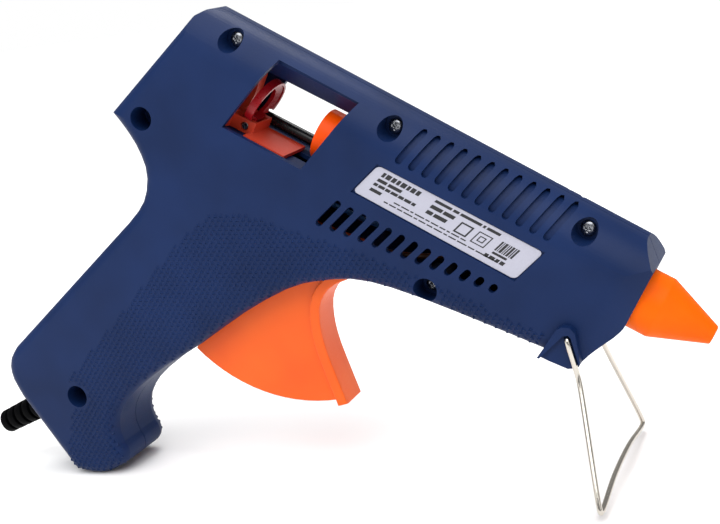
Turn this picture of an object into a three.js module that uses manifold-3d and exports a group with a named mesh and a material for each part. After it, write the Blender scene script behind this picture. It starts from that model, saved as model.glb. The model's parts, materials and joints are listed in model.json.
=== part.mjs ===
// A trigger-fed hot-melt glue gun for 11 mm sticks, standing nose-down on its wire bail.
// Millimetres. The gun is drawn in its own frame: the glue axis is X, pointing forward, with X = 0
// on the front face, Z up and the right-hand shell on the -Y side. The last lines pitch it onto its
// feet, with the origin under the middle of its box.
import * as THREE from 'three';
import { mergeVertices } from 'three/addons/utils/BufferGeometryUtils.js';
import Module from 'manifold-3d';

const wasm = await Module();
wasm.setup();

// ---------------------------------------------------------------- driving dimensions
const GAP = 0.3; // clearance between neighbouring pieces
const BARREL_LENGTH = 200; // front face to the tip over the thumb web
const GRIP_LENGTH = 101.5; // thumb web to the heel of the grip
const HALF_WIDTH = 16.5; // of the closed housing
const WALL = 2.3; // moulded shell
const CROWN_RADIUS = 15; // round top of the barrel
const EDGE_RADIUS = 5; // round lower and grip edges
const REAR_RADIUS = 6; // round upright edges of the rear face
const NOSE_LENGTH = 12.2; // how far back the sides start to close in
const NOSE_HALF_WIDTH = 12.6; // of the flat front face

const STICK_BORE = 5.9; // radius that an 11 mm stick slides in
const INLET_RADIUS = 7.2;
const COVER_RADIUS = 10.8; // silicone nozzle cover
const COVER_LENGTH = 26.4;
const TIP_RADIUS = 3.2;
const CHAMBER_RADIUS = 9;
const CHAMBER_LENGTH = 66;
const SLEEVE_RADIUS = 9.5;
const SLEEVE_REACH = 75.4; // sleeve's rear end, from the barrel's rear datum

const SCREW_RADIUS = 1.45;
const HEAD_RADIUS = 2.6;
const HEAD_DEPTH = 8; // plane of the heads, from the middle of the gun
const PILOT = 1.75;

const BAIL_RADIUS = 0.95; // wire
const BAIL_PIVOT = [-14.5, -18];
const BAIL_PIVOT_Y = 19;
const BAIL_LEG = 54.2; // pivot to foot
const BAIL_ANGLE = 42; // forward of straight down, in the gun's frame
const BAIL_KINK = 15.2; // where each leg starts to splay
const BAIL_FOOT_Y = 39;
const BAIL_SWING = 60;

const TRIGGER_RADIUS = 64; // of its lower edge about the pivot
const TRIGGER_HALF_WIDTH = 7;
const WEB_HALF_WIDTH = 5.2;
const ARM_LENGTH = 22;
const LINK_LENGTH = 20;

const ARC = 8; // steps in a quarter turn of a large radius
const BLUE = { color: 0x27376a, roughness: 0.5, metalness: 0 };
const ORANGE = { color: 0xff6a1e, roughness: 0.45, metalness: 0 };
const RED = { color: 0xe0401e, roughness: 0.45, metalness: 0 };
const STEEL = { color: 0xb9b9bd, roughness: 0.3, metalness: 1 };
const BLACK = { color: 0x16171a, roughness: 0.5, metalness: 0 };

// ---------------------------------------------------------------- places
const rear = (x, z) => new THREE.Vector2(x - BARREL_LENGTH, z); // from the barrel's rear datum
const GRIP_LEAN = THREE.MathUtils.degToRad(21.6);
const GRIP_TOP = [22, -57]; // rear datum frame, where the straight back of the grip starts
const heelX = GRIP_TOP[0] - GRIP_LENGTH * Math.sin(GRIP_LEAN);
const heelZ = GRIP_TOP[1] - GRIP_LENGTH * Math.cos(GRIP_LEAN);
const heel = (x, z) => rear(heelX + x, heelZ + z); // from the corner where back and bottom meet
const PIVOT = rear(79, -40); // of the trigger
const topAt = (x) => 20.5 - 0.0243 * (x + 7); // height of the barrel's top line

// ---------------------------------------------------------------- helpers
const solid = (geometry) => {
  const bare = new THREE.BufferGeometry();
  bare.setAttribute('position', geometry.getAttribute('position'));
  bare.setIndex(geometry.index);
  const merged = mergeVertices(bare, 1e-4);
  return new wasm.Manifold(new wasm.Mesh({
    numProp: 3,
    vertProperties: merged.getAttribute('position').array,
    triVerts: new Uint32Array(merged.index.array),
  }));
};

const geometryOf = (body) => {
  const mesh = body.getMesh();
  const geometry = new THREE.BufferGeometry();
  geometry.setAttribute('position', new THREE.BufferAttribute(mesh.vertProperties, 3));
  geometry.setIndex(new THREE.BufferAttribute(mesh.triVerts, 1));
  return geometry;
};

const gun = new THREE.Group();
const place = (name, shape, look) => {
  const geometry = shape.isBufferGeometry ? shape : geometryOf(shape);
  const mesh = new THREE.Mesh(geometry, new THREE.MeshStandardMaterial(look));
  mesh.name = name;
  gun.add(mesh);
};

const points = (pairs) => pairs.map((p) => (p.isVector2 ? p : new THREE.Vector2(p[0], p[1])));
const shapeOf = (pairs) => new THREE.Shape(points(pairs));

// A side-view outline (x, z), as thick as yLow to yHigh.
const sidePlate = (shape, yLow, yHigh, bevel = 0, bevelSegments = 2) => new THREE.ExtrudeGeometry(shape, {
  depth: yHigh - yLow - 2 * bevel, steps: 1, curveSegments: 6, bevelEnabled: bevel > 0,
  bevelThickness: bevel, bevelSize: bevel, bevelOffset: -bevel, bevelSegments,
}).translate(0, 0, -yHigh + bevel).rotateX(Math.PI / 2);

// A front-view outline (y, z), from xLow to xHigh.
const crossBar = (shape, xLow, xHigh, curveSegments = ARC) => {
  const turn = new THREE.Matrix4().makeBasis(
    new THREE.Vector3(0, 1, 0), new THREE.Vector3(0, 0, 1), new THREE.Vector3(1, 0, 0));
  return new THREE.ExtrudeGeometry(shape, {
    depth: xHigh - xLow, steps: 1, bevelEnabled: false, curveSegments,
  }).translate(0, 0, xLow).applyMatrix4(turn);
};

const box = (low, high) => new THREE.BoxGeometry(high[0] - low[0], high[1] - low[1], high[2] - low[2])
  .translate((low[0] + high[0]) / 2, (low[1] + high[1]) / 2, (low[2] + high[2]) / 2);

// A pin or hole along Y.
const crossPin = (x, z, radius, yLow, yHigh, sides = 16) =>
  new THREE.CylinderGeometry(radius, radius, yHigh - yLow, sides).translate(x, (yLow + yHigh) / 2, z);

// A round body about the glue axis, from (x, radius) pairs that close on themselves.
const turned = (pairs, sides = 28) =>
  new THREE.LatheGeometry(points(pairs).map((p) => new THREE.Vector2(p.y, p.x)), sides)
    .applyMatrix4(new THREE.Matrix4().makeBasis(
      new THREE.Vector3(0, 1, 0), new THREE.Vector3(1, 0, 0), new THREE.Vector3(0, 0, -1)));

const tube = (curve, radius, steps, sides = 8) => new THREE.ExtrudeGeometry(
  new THREE.Shape().absarc(0, 0, radius, 0, 2 * Math.PI, false),
  { extrudePath: curve, steps, curveSegments: Math.ceil(sides / 2), bevelEnabled: false });

const joined = (first, ...others) =>
  others.reduce((sum, next) => sum.add(next.isBufferGeometry ? solid(next) : next),
    first.isBufferGeometry ? solid(first) : first);
const cut = (first, ...others) =>
  others.reduce((rest, next) => rest.subtract(next.isBufferGeometry ? solid(next) : next),
    first.isBufferGeometry ? solid(first) : first);
const common = (first, ...others) =>
  others.reduce((rest, next) => rest.intersect(next.isBufferGeometry ? solid(next) : next),
    first.isBufferGeometry ? solid(first) : first);

// Moves every corner of a closed outline inwards by the same distance.
const insetOutline = (outline, distance) => outline.map((corner, i) => {
  const before = outline[(i + outline.length - 1) % outline.length];
  const after = outline[(i + 1) % outline.length];
  const into = corner.clone().sub(before).normalize();
  const away = after.clone().sub(corner).normalize();
  const normal = new THREE.Vector2(-into.y - away.y, into.x + away.x).normalize();
  const stretch = normal.x * -into.y + normal.y * into.x;
  return corner.clone().addScaledVector(normal, distance / stretch);
});

// ---------------------------------------------------------------- housing outline
const spline = (pairs, steps) => new THREE.SplineCurve(points(pairs)).getPoints(steps);
const arc = (centre, radius, start, end, steps) => {
  const turn = (i) => THREE.MathUtils.degToRad(start + (end - start) * i / steps);
  return Array.from({ length: steps + 1 }, (_, i) => new THREE.Vector2(
    centre.x + radius * Math.cos(turn(i)), centre.y + radius * Math.sin(turn(i))));
};

const LOBE_TIP = rear(-0.3, -26);
const REAR_TOP = rear(20.6, 25.2);
const rearDirection = REAR_TOP.clone().sub(LOBE_TIP).normalize();

// The top and front, from the rear corner forward; the front lower corner; then the lower contour
// back along the barrel, down the grip, round the hook and the heel, and up into the thumb web.
// Only the lower contour's edges are rounded, so it is carried on past the front and the rear.
const TOP_CORNER = [
  REAR_TOP.clone().addScaledVector(rearDirection, -5),
  REAR_TOP.clone().addScaledVector(rearDirection, -1.6).add(new THREE.Vector2(0.7, -0.1)),
  new THREE.Vector2(REAR_TOP.x + 2.6, topAt(REAR_TOP.x) - 0.35),
  new THREE.Vector2(REAR_TOP.x + 5.5, topAt(REAR_TOP.x + 5.5)),
];
const NOSE = [[-7, topAt(-7)], [0, 13.7], [0, -7.5]];
const UNDER_NOSE = spline([[0, -7.5], [-1, -11], [-4, -16.8], [-6.1, -21.5], [-7.4, -26]], 7);
const UNDERSIDE = spline([[-7.4, -26], [-40, -29.6], [-70, -33.6], rear(112, -38), rear(99.4, -45.2),
  rear(88.2, -54.8), rear(74.9, -73.6), rear(61.6, -97.2), heel(67.4, 39), heel(58.7, 21.6),
  heel(56.4, 10.4), heel(58.5, 3), heel(61.8, -0.6)], 26);
const HOOK = arc(heel(60.3, -6.9), 6, 72, -50, 7);
const BOTTOM = spline([heel(64.2, -11.5), heel(60.5, -16.8), heel(54.4, -21.2), heel(46.8, -23.6)], 6);
const HEEL = spline([heel(13.6, -6.8), heel(6.4, -1.2), heel(3.1, 5.5), heel(4.1, 12.8)], 7);
const THUMB_WEB = spline([heel(4.1, 12.8), rear(14.4, -76), rear(21.5, -58.2), rear(22.8, -49.5),
  rear(20.4, -41), rear(15, -34.8), rear(9, -30.6), rear(3, -27.4), LOBE_TIP], 15);

const distinct = (list) => list.filter((p, i) => i === 0 || p.distanceTo(list[i - 1]) > 0.05);
const outlineOf = (...runs) => distinct(runs.flatMap((run) => points(run)));
const LOWER = outlineOf(UNDERSIDE, HOOK, BOTTOM, HEEL, THUMB_WEB);

// One solid of the whole gun, or with inset, of its hollow, which takes fewer facets.
const bodySolid = (inset) => {
  const fine = inset === 0;
  const arcSteps = fine ? ARC : 3;
  const thinned = (outline) => outline.filter((p, i) => fine || i % 2 === 0);
  const half = HALF_WIDTH - inset;
  const crownRadius = CROWN_RADIUS - inset;
  const crownZ = topAt(0) - inset - crownRadius;
  const section = new THREE.Shape();
  section.moveTo(-half, -260);
  section.lineTo(half, -260);
  section.lineTo(half, crownZ);
  section.absarc(half - crownRadius, crownZ, crownRadius, 0, Math.PI / 2, false);
  section.absarc(crownRadius - half, crownZ, crownRadius, Math.PI / 2, Math.PI, false);
  const crown = crossBar(section, -300, 60, arcSteps).rotateY(Math.atan(0.0243));

  const tangent = -NOSE_LENGTH;
  const drop = HALF_WIDTH - NOSE_HALF_WIDTH;
  const noseRadius = (NOSE_LENGTH ** 2 + drop ** 2) / (2 * drop);
  const sweep = THREE.MathUtils.radToDeg(Math.asin(NOSE_LENGTH / noseRadius));
  const side = (sign) => arc(new THREE.Vector2(tangent, sign * (HALF_WIDTH - noseRadius)),
    noseRadius - inset, sign * 90, sign * (90 - sweep), fine ? 8 : 3);
  const plan = new THREE.Shape(outlineOf([[-300, half]], side(1), side(-1).reverse(), [[-300, -half]])
    .reverse());
  const nose = new THREE.ExtrudeGeometry(plan, { depth: 400, steps: 1, bevelEnabled: false })
    .translate(0, 0, -300);

  const corner = REAR_RADIUS - inset;
  const rearPlan = new THREE.Shape();
  rearPlan.moveTo(300, -half);
  rearPlan.lineTo(300, half);
  rearPlan.absarc(inset + corner, half - corner, corner, Math.PI / 2, Math.PI, false);
  rearPlan.absarc(inset + corner, corner - half, corner, Math.PI, 1.5 * Math.PI, false);
  const back = new THREE.ExtrudeGeometry(rearPlan, {
    depth: 500, steps: 1, bevelEnabled: false, curveSegments: fine ? 6 : 3,
  }).translate(0, 0, -250).rotateY(Math.atan2(rearDirection.x, rearDirection.y))
    .translate(LOBE_TIP.x, 0, LOBE_TIP.y);

  const exact = new THREE.Shape(insetOutline(outlineOf(TOP_CORNER, NOSE, UNDER_NOSE, thinned(LOWER))
    .reverse(), inset));
  const rounded = new THREE.Shape(insetOutline(outlineOf([[30, 60], [30, -24.2]],
    thinned(LOWER.slice(0, -1)), [rear(-20, -16), rear(-20, 60)]).reverse(), inset));
  return common(
    sidePlate(exact, -half - 1, half + 1),
    sidePlate(rounded, -half, half, EDGE_RADIUS - inset, fine ? 4 : 1), crown, nose, back);
};

// ---------------------------------------------------------------- places on the housing
const SCREWS = [ // x, z, counterbore radius
  { name: 'housing_screw_rear_top', at: rear(35.5, 19), bore: 4.1 },
  { name: 'housing_screw_middle_top', at: rear(101.1, 16.9), bore: 4.1 },
  { name: 'housing_screw_front_top', at: new THREE.Vector2(-25.2, 15.6), bore: 4.1 },
  { name: 'housing_screw_thumb_web', at: rear(13.5, -21.6), bore: 4.4 },
  { name: 'housing_screw_underside', at: new THREE.Vector2(-64.8, -28), bore: 4.4 },
  { name: 'housing_screw_grip', at: heel(38.3, 9.2), bore: 4.6 },
];
const WINDOW = [rear(54.5, 20.4), rear(87.1, 19.6), rear(77.7, -9.9), rear(44.6, -9.6)];
const CEILING_LOW = 11; // where the two sloping ceilings of the window meet
const FLOOR = -11.9; // rails that the carriage runs on
const FLOOR_SLOT = 3.4; // half the slot between the rails
const LABEL = [[-97.4, 4.9], [-33.4, 4.5], [-38.4, -9.4], [-102.6, -8.4]];
const LABEL_SINK = 0.8;
const LABEL_SKIN = 0.4;
const GROOVE_DEPTH = 1.3;
const SLOT_WIDTH = 2.5;
const COLLARS = [-14, -68]; // middles of the chamber's two collars
const COLLAR_RADIUS = 13.2;
const COLLAR_GROOVE = 12;
const SLEEVE_RIB = -100;
const ROD = { y: 9.3, z: -7.9, radius: 2.2, start: rear(24, 0).x, end: rear(98, 0).x };
const SQUEEZE = THREE.MathUtils.degToRad(22);
const ARM_PIN = PIVOT.clone().add(
  new THREE.Vector2(-Math.sin(SQUEEZE / 2), Math.cos(SQUEEZE / 2)).multiplyScalar(ARM_LENGTH));
const KEEL_PIN = ARM_PIN.clone().add(new THREE.Vector2(-LINK_LENGTH, 0));
const PIN_RADIUS = 1.3;
const TRIGGER_PIN_RADIUS = 2;
const SPRING_RADIUS = 2.6;
const SPRING_POST = rear(25.5, ARM_PIN.y);
const RELIEF_EXIT = heel(19.7, -10.8);
const RELIEF_AIM = new THREE.Vector2(-0.6, -0.8);
const RELIEF_RADIUS = 5.4;
const RELIEF_NECK = 4.4;
const RELIEF_LENGTH = 28.4;
const RELIEF_CORE = 3.8;
const RELIEF_BORE = 2.8;
const alongRelief = (distance) => RELIEF_EXIT.clone().addScaledVector(RELIEF_AIM, distance);

const BAIL_BOSS = [[-20.4, -28.7], [-18.8, -16.6], [-17.6, -14.8], [-15.2, -13.8], [-12.9, -14.6],
  [-6.8, -23.3], [-7, -25.8], [-9.8, -27.8], [-16.5, -28.5]];
const BOSS_Y = 19.5;
const RECESS_Y = 17.6;
const legAim = (angle) => new THREE.Vector2(
  Math.sin(THREE.MathUtils.degToRad(angle)), -Math.cos(THREE.MathUtils.degToRad(angle)));

// A slanted slot with round ends in side view.
const slotShape = (low, high, width) => {
  const lean = THREE.MathUtils.radToDeg(Math.atan2(high.y - low.y, high.x - low.x));
  return new THREE.Shape([...arc(high, width / 2, lean - 90, lean + 90, 4),
    ...arc(low, width / 2, lean + 90, lean + 270, 4)]);
};

// The two rows of cooling slots: a blind row over the shoulder and an open row below the label.
const BLIND_SLOTS = Array.from({ length: 12 }, (_, i) => {
  const low = new THREE.Vector2(-35.2 - 5.08 * i, 9.4);
  return slotShape(low, low.clone().add(new THREE.Vector2(2.7, 10.4)), SLOT_WIDTH);
});
const OPEN_SLOTS = Array.from({ length: 13 }, (_, i) => {
  const high = new THREE.Vector2(-43.6 - 5.13 * i, -14.7);
  const fall = 1.2 + 0.72 * i;
  return slotShape(high.clone().add(new THREE.Vector2(-0.4 * fall, -fall)), high, SLOT_WIDTH);
});

// The slot that the trigger swings in, seen from the side.
const TRIGGER_SLOT = new THREE.Shape([...arc(PIVOT, TRIGGER_RADIUS + 0.6, -112, -36, 12),
  rear(112, -60), rear(106.8, -44), rear(106.8, -33), rear(92, -31), rear(70, -44)]);

// ---------------------------------------------------------------- housing shells
const outer = bodySolid(0);
const hollow = bodySolid(WALL);
const withinWalls = bodySolid(WALL / 2);
const grooveFloor = bodySolid(GROOVE_DEPTH);

const shell = (sign) => {
  const sided = (a, b) => (sign < 0 ? [-b, -a] : [a, b]); // y range on this shell's side
  const pin = (at, radius, a, b, sides) => crossPin(at.x, at.y, radius, ...sided(a, b), sides);
  const plate = (shape, a, b) => sidePlate(shape, ...sided(a, b));
  const half = box([-320, sided(GAP / 2, 40)[0], -260], [60, sided(GAP / 2, 40)[1], 60]);

  const ceiling = crossBar(shapeOf(
    [[-12, 21.2], [-GAP / 2, CEILING_LOW], [-GAP / 2, CEILING_LOW + 2], [-10, 22.4]]
      .map(([y, z]) => [-sign * y, z])), WINDOW[3].x - 6, WINDOW[1].x + 3);
  const rail = box([WINDOW[3].x - 16, sided(FLOOR_SLOT, HALF_WIDTH)[0], FLOOR - 1.5],
    [WINDOW[2].x + 14, sided(FLOOR_SLOT, HALF_WIDTH)[1], FLOOR]);
  const rib = (x, low, radius) => cut(
    box([x - 1, sided(0, HALF_WIDTH)[0], low], [x + 1, sided(0, HALF_WIDTH)[1], 30]),
    turned([[x - 2, 0], [x - 2, radius], [x + 2, radius], [x + 2, 0]]));
  const bosses = SCREWS.map(({ at, bore }) => pin(at, (sign < 0 ? bore : 2.6) + 1.1, 0, HALF_WIDTH));
  const inside = [ceiling, rail, rib(COLLARS[0], -40, COLLAR_GROOVE + GAP),
    rib(COLLARS[1], -15, COLLAR_GROOVE + GAP), rib(SLEEVE_RIB, -13.4, SLEEVE_RADIUS + GAP),
    pin(PIVOT, TRIGGER_PIN_RADIUS + 2.4, WEB_HALF_WIDTH + GAP + 0.3, HALF_WIDTH), ...bosses];
  if (sign > 0) {
    const rodRest = (x) => box([x - 3, ROD.y - 4, ROD.z - 4.5], [x + 1, HALF_WIDTH, ROD.z + 4]);
    const post = (side) => {
      const at = alongRelief(-13).add(new THREE.Vector2(0.8, -0.6).multiplyScalar(side * 5.6));
      return crossPin(at.x, at.y, 2.8, -2.4, HALF_WIDTH);
    };
    inside.push(rodRest(ROD.start + 1), rodRest(ROD.end + 1), pin(SPRING_POST, 1.6, 0.3, HALF_WIDTH));
    inside.push(common(post(-1), half), common(post(1), half));
  }
  let body = cut(common(joined(outer, plate(shapeOf(BAIL_BOSS), 9, BOSS_Y)), half), hollow);
  body = body.add(common(joined(...inside), withinWalls, half));

  const pivot = new THREE.Vector2(...BAIL_PIVOT);
  const reach = (angle, side) => {
    const aim = legAim(angle);
    const offset = new THREE.Vector2(-aim.y, aim.x).multiplyScalar(side * 1.6);
    return [pivot.clone().add(offset), pivot.clone().addScaledVector(aim, 18).add(offset)];
  };
  const [backTop, backEnd] = reach(BAIL_ANGLE - BAIL_SWING, -1);
  const [frontTop, frontEnd] = reach(BAIL_ANGLE, 1);
  const recess = new THREE.Shape([backTop, backEnd, frontEnd, frontTop,
    new THREE.Vector2(pivot.x, pivot.y + 1.6)]);
  const holes = [
    turned([[-6, 0], [-6, COVER_RADIUS + GAP], [2, COVER_RADIUS + GAP], [2, 0]]),
    turned([[-BARREL_LENGTH - 8, 0], [-BARREL_LENGTH - 8, INLET_RADIUS],
      [-BARREL_LENGTH + 24, INLET_RADIUS], [-BARREL_LENGTH + 24, 0]]),
    plate(new THREE.Shape(WINDOW), 9, 30),
    plate(TRIGGER_SLOT, -1, TRIGGER_HALF_WIDTH + 0.6),
    plate(recess, RECESS_Y, 24),
    pin(pivot, BAIL_RADIUS + GAP, 11, 24),
    pin(PIVOT, TRIGGER_PIN_RADIUS + GAP, 0, 14),
    tube(new THREE.LineCurve3(new THREE.Vector3(alongRelief(-7).x, 0, alongRelief(-7).y),
      new THREE.Vector3(alongRelief(4).x, 0, alongRelief(4).y)), RELIEF_NECK + GAP, 1, 20),
    ...OPEN_SLOTS.map((slot) => plate(slot, 9, 30)),
    ...SCREWS.map(({ at }) => pin(at, PILOT, 0, sign < 0 ? 20 : 12, 16)),
  ];
  if (sign < 0) {
    holes.push(plate(shapeOf(LABEL), HALF_WIDTH - LABEL_SINK, 30));
    SCREWS.forEach(({ at, bore }) => holes.push(pin(at, bore, HEAD_DEPTH - 1.6, 30, 24)));
  } else {
    const rod = crossBar(new THREE.Shape().absarc(ROD.y, ROD.z, ROD.radius + GAP, 0, 2 * Math.PI),
      ROD.start - GAP, ROD.end + GAP, 8);
    holes.push(rod, turned([[ROD.end - 4, 0], [ROD.end - 4, SLEEVE_RADIUS + GAP],
      [ROD.end + 4, SLEEVE_RADIUS + GAP], [ROD.end + 4, 0]]));
    for (const side of [-1, 1]) {
      const at = alongRelief(-13).add(new THREE.Vector2(0.8, -0.6).multiplyScalar(side * 5.6));
      holes.push(crossPin(at.x, at.y, 1.3, -3, 9, 16));
    }
  }
  const grooves = cut(joined(...BLIND_SLOTS.map((slot) => plate(slot, 2, 30))), grooveFloor);
  return cut(body, ...holes, grooves);
};
place('right_shell', shell(-1), BLUE);
place('left_shell', shell(1), BLUE);

// ---------------------------------------------------------------- melt line
place('nozzle_cover', turned([[-6.2, 7.8], [-6.2, 11.7], [-4, 11.7], [-4, COVER_RADIUS],
  [7.2, COVER_RADIUS], [COVER_LENGTH, TIP_RADIUS], [COVER_LENGTH, TIP_RADIUS - 1], [-2.2, 7.6],
  [-6.2, 7.8]]), ORANGE);
place('nozzle', turned([[-13.4, 3.2], [-13.4, 4.3], [-7.4, 4.3], [-7.4, 7.1], [-2.7, 7.1],
  [COVER_LENGTH - 0.5, TIP_RADIUS - 1.4], [COVER_LENGTH - 0.5, 0.9], [COVER_LENGTH - 4, 0.9],
  [-4, 3.2], [-13.4, 3.2]], 24), { color: 0xb08d57, roughness: 0.35, metalness: 1 });
const CHAMBER_REAR = -8 - CHAMBER_LENGTH;
const HEATER = { low: [-60, -5.3, -14.7], high: [-20, 5.3, -10.9] };
place('melt_chamber', cut(joined(
  turned([[CHAMBER_REAR - 12, 0], [CHAMBER_REAR - 12, 7.5], [CHAMBER_REAR, 7.5],
    [CHAMBER_REAR, CHAMBER_RADIUS], [-8, CHAMBER_RADIUS], [-8, 0]]),
  box([-58, -7.5, -16.5], [-22, 7.5, -3])),
turned([[CHAMBER_REAR - 13, 0], [CHAMBER_REAR - 13, STICK_BORE], [-14, STICK_BORE], [-14, 4.6],
  [-7, 4.6], [-7, 0]]),
box([-59, -5.6, -15], [-21, 5.6, -10.6])), { color: 0xa9abae, roughness: 0.45, metalness: 1 });
place('ptc_heater', box(HEATER.low, HEATER.high), { color: 0xc9a35a, roughness: 0.5, metalness: 0 });
place('heater_clip', crossBar(shapeOf([[-7.8, -16.8], [7.8, -16.8], [7.8, -6], [8.6, -6],
  [8.6, -17.6], [-8.6, -17.6], [-8.6, -6], [-7.8, -6]].reverse()), -43, -37), STEEL);
const collar = (x) => turned([[x - 2.5, CHAMBER_RADIUS + GAP], [x - 2.5, COLLAR_RADIUS],
  [x - 1 - GAP, COLLAR_RADIUS], [x - 1 - GAP, COLLAR_GROOVE], [x + 1 + GAP, COLLAR_GROOVE],
  [x + 1 + GAP, COLLAR_RADIUS], [x + 2.5, COLLAR_RADIUS], [x + 2.5, CHAMBER_RADIUS + GAP],
  [x - 2.5, CHAMBER_RADIUS + GAP]]);
const SILICONE = { color: 0xb9b3a6, roughness: 0.7, metalness: 0 };
place('front_collar', collar(COLLARS[0]), SILICONE);
place('rear_collar', collar(COLLARS[1]), SILICONE);
const sleeveStart = rear(SLEEVE_REACH, 0).x;
place('inlet_sleeve', turned([[sleeveStart, STICK_BORE + 0.9], [sleeveStart, SLEEVE_RADIUS],
  [CHAMBER_REAR - GAP, SLEEVE_RADIUS], [CHAMBER_REAR - GAP, 7.8], [CHAMBER_REAR - 12.3, 7.8],
  [CHAMBER_REAR - 12.3, STICK_BORE + 0.2], [sleeveStart + 4, STICK_BORE + 0.2],
  [sleeveStart, STICK_BORE + 0.9]]), ORANGE);

// ---------------------------------------------------------------- feed
const rodBar = new THREE.CylinderGeometry(ROD.radius, ROD.radius, ROD.end - ROD.start, 20)
  .rotateZ(Math.PI / 2).translate((ROD.start + ROD.end) / 2, ROD.y, ROD.z);
place('guide_rod', rodBar, BLACK);

const CLAMP_X = rear(48.5, 0).x;
const CLAMP_PIN_Z = -9.2;
const CLAMP_LEAN = THREE.MathUtils.degToRad(12); // forward, while the trigger is let go
const CHEEK_TOP = -6.4;
const PLATE_TOP = -10.2;
const bed = FLOOR + GAP; // underside of the carriage
const carriageWall = common(
  box([CLAMP_X - 8.5, -12, bed], [CLAMP_X - 5.6, 12, 9.8]),
  turned([[CLAMP_X - 9, 0], [CLAMP_X - 9, 15], [CLAMP_X - 5, 15], [CLAMP_X - 5, 0]]));
place('feed_carriage', cut(joined(carriageWall,
  box([CLAMP_X - 6, -6.5, bed], [CLAMP_X + 4, 6.5, CHEEK_TOP]),
  box([CLAMP_X + 3, -12, bed], [CLAMP_X + 20, 6.4, PLATE_TOP]),
  box([KEEL_PIN.x - 4, -2.4, KEEL_PIN.y - 3], [KEEL_PIN.x + 4, 2.4, bed + 1])),
box([CLAMP_X - 3.4, -4.4, bed - 1], [CLAMP_X + 3.4, 4.4, 0]),
box([CLAMP_X - 3.4, -10, CHEEK_TOP - 0.001], [CLAMP_X + 3.4, 10, 0]),
turned([[CLAMP_X - 10, 0], [CLAMP_X - 10, 6.8], [CLAMP_X - 4, 6.8], [CLAMP_X - 4, 0]], 24),
crossPin(CLAMP_X, CLAMP_PIN_Z, PIN_RADIUS + GAP, -8, 8, 16),
crossPin(KEEL_PIN.x, KEEL_PIN.y, PIN_RADIUS + GAP, -4, 4, 16),
box([CLAMP_X - 9, ROD.y - ROD.radius - 0.5, ROD.z - ROD.radius - 0.5],
  [CLAMP_X - 5, 13, ROD.z + ROD.radius + 0.5])), RED);
place('clamp_pin', crossPin(CLAMP_X, CLAMP_PIN_Z, PIN_RADIUS, -6.2, 6.2, 16), STEEL);
const CLAMP_FOOT = 4.1; // half-width between the carriage's cheeks
const RING_CUT = CHEEK_TOP + 1.1; // the ring's ends stay above the cheeks as it tips
const clampBody = cut(joined(
  cut(turned([[CLAMP_X - 1.5, STICK_BORE], [CLAMP_X - 1.5, 9.9], [CLAMP_X + 1.5, 9.9],
    [CLAMP_X + 1.5, 9], [CLAMP_X + 0.9, 8.8], [CLAMP_X - 0.3, STICK_BORE], [CLAMP_X - 1.5, STICK_BORE]]),
  box([CLAMP_X - 4, CLAMP_FOOT, -12], [CLAMP_X + 4, 12, RING_CUT]),
  box([CLAMP_X - 4, -12, -12], [CLAMP_X + 4, -CLAMP_FOOT, RING_CUT]),
  box([CLAMP_X - 4, ROD.y - ROD.radius - GAP, -12], [CLAMP_X + 4, 12, ROD.z + ROD.radius + 2])),
  box([CLAMP_X - 1.5, -CLAMP_FOOT, CLAMP_PIN_Z], [CLAMP_X + 1.5, CLAMP_FOOT, RING_CUT + 0.3]),
  crossPin(CLAMP_X, CLAMP_PIN_Z, 2.3, -CLAMP_FOOT, CLAMP_FOOT, 16)),
turned([[CLAMP_X - 3, 0], [CLAMP_X - 3, STICK_BORE + GAP], [CLAMP_X + 3, STICK_BORE + GAP],
  [CLAMP_X + 3, 0]]),
crossPin(CLAMP_X, CLAMP_PIN_Z, PIN_RADIUS + GAP, -5, 5, 16));
place('stick_clamp', geometryOf(clampBody).translate(-CLAMP_X, 0, -CLAMP_PIN_Z).rotateY(CLAMP_LEAN)
  .translate(CLAMP_X, 0, CLAMP_PIN_Z), { color: 0xb3121c, roughness: 0.4, metalness: 0 });

const linkShape = slotShape(KEEL_PIN, ARM_PIN, 5.4);
place('drive_link', cut(sidePlate(linkShape, 2.8, 4.6),
  crossPin(KEEL_PIN.x, KEEL_PIN.y, PIN_RADIUS + GAP, 2, 6, 16),
  crossPin(ARM_PIN.x, ARM_PIN.y, PIN_RADIUS + 0.8, 2, 6, 16)), STEEL);
place('link_pin_rear', crossPin(KEEL_PIN.x, KEEL_PIN.y, PIN_RADIUS, -3, 5.4, 16), STEEL);
place('link_pin_front', crossPin(ARM_PIN.x, ARM_PIN.y, PIN_RADIUS, -3, 5.4, 16), STEEL);
const springStart = SPRING_POST.x + 2.2;
place('return_spring', new THREE.CylinderGeometry(SPRING_RADIUS, SPRING_RADIUS,
  KEEL_PIN.x - 4 - GAP - springStart, 16).rotateZ(Math.PI / 2)
  .translate((KEEL_PIN.x - 4 - GAP + springStart) / 2, 0, KEEL_PIN.y), STEEL);

// ---------------------------------------------------------------- trigger
const fromPivot = (radius, angle) => PIVOT.clone().add(
  new THREE.Vector2(radius * Math.cos(angle * Math.PI / 180), radius * Math.sin(angle * Math.PI / 180)));
const FRONT_FACE = spline([fromPivot(66, -47), rear(116.4, -80.8), rear(108.4, -72.6),
  rear(103, -65.2), rear(99.7, -57), rear(101, -49.4), rear(105.6, -43.4)], 16);
const FINGER_FACE = 4.2;
const web = outlineOf(arc(PIVOT, TRIGGER_RADIUS, -107.5, -50, 14), FRONT_FACE,
  arc(PIVOT, 26.2, -7, 20, 4), [rear(84, -33.5)], arc(PIVOT, 7, 60, 150, 4),
  [rear(67, -52), rear(61.5, -78)]);
const flange = outlineOf(FRONT_FACE, FRONT_FACE.map((p, i) => {
  const before = FRONT_FACE[Math.max(0, i - 1)];
  const after = FRONT_FACE[Math.min(FRONT_FACE.length - 1, i + 1)];
  const along = after.clone().sub(before).normalize();
  return p.clone().add(new THREE.Vector2(-along.y, along.x).multiplyScalar(FINGER_FACE));
}).reverse());
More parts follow.
